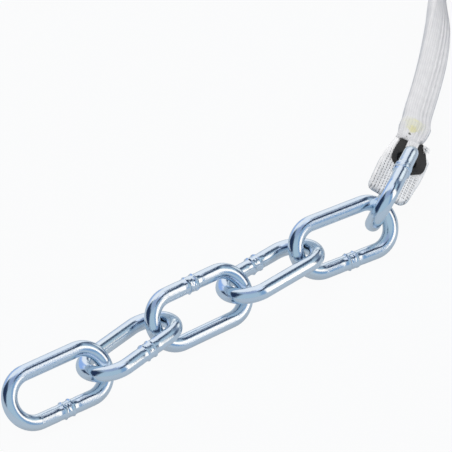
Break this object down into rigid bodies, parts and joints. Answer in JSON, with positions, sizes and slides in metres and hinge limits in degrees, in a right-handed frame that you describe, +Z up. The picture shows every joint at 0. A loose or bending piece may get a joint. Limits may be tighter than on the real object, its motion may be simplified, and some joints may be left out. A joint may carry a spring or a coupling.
{
  "type": "cattle tie chain",
  "caption": "Neck tie for cattle: a short chain of welded zinc-plated steel links on a folded woven strap with plastic-lined eyes.",
  "frame": {"origin": "on the ground under the middle of the chain and the tab that holds it", "axes": "+X along the chain, from its free link towards the strap; +Z up from the ground; +Y to the left of the chain"},
  "size_m": [0.5484, 0.1771, 0.0371],
  "materials": {
    "zinc_steel": "bright blue zinc plate",
    "ribbed_webbing": "ribbed twill webbing",
    "strap_webbing": "smooth woven webbing, folded lengthwise",
    "liner_plastic": "matte moulded"
  },
  "bodies": {
    "strap": {"strap_tab": "ribbed_webbing", "eye_liner": "liner_plastic", "eye_back_ring": "liner_plastic", "strap_run": "strap_webbing", "strap_loop": "strap_webbing", "far_strap_tab": "ribbed_webbing", "far_eye_liner": "liner_plastic", "far_eye_back_ring": "liner_plastic"},
    "link_1": {"link_1": "zinc_steel"},
    "link_2": {"link_2": "zinc_steel"},
    "link_3": {"link_3": "zinc_steel"},
    "link_4": {"link_4": "zinc_steel"},
    "link_5": {"link_5": "zinc_steel"},
    "link_6": {"link_6": "zinc_steel"}
  },
  "joints": [
    {"name": "link_6_in_eye", "type": "hinge", "parent": "strap", "child": "link_6", "pos_m": [0.12738, 0.0106, 0.01494], "axis": [0.2625, -0.3327, 0.9058], "range_deg": [-90, 90]},
    {"name": "link_5_on_link_6", "type": "hinge", "parent": "link_6", "child": "link_5", "pos_m": [0.07905, -0.01709, 0.01481], "axis": [-0.1126, -0.8011, 0.5878], "range_deg": [-45, 125]},
    {"name": "link_4_on_link_5", "type": "hinge", "parent": "link_5", "child": "link_4", "pos_m": [0.03362, -0.01135, 0.01481], "axis": [0.0127, -0.2416, -0.9703], "range_deg": [-90, 90]},
    {"name": "link_3_on_link_4", "type": "hinge", "parent": "link_4", "child": "link_3", "pos_m": [-0.01216, -0.01244, 0.01481], "axis": [-0.0423, -0.8079, 0.5878], "range_deg": [-90, 90]},
    {"name": "link_2_on_link_3", "type": "hinge", "parent": "link_3", "child": "link_2", "pos_m": [-0.05792, -0.01074, 0.01481], "axis": [-0.0431, 0.2722, 0.9613], "range_deg": [-90, 90]},
    {"name": "link_1_on_link_2", "type": "hinge", "parent": "link_2", "child": "link_1", "pos_m": [-0.10332, -0.01508, 0.01481], "axis": [-0.0564, -0.807, 0.5878], "range_deg": [-90, 90]}
  ]
}
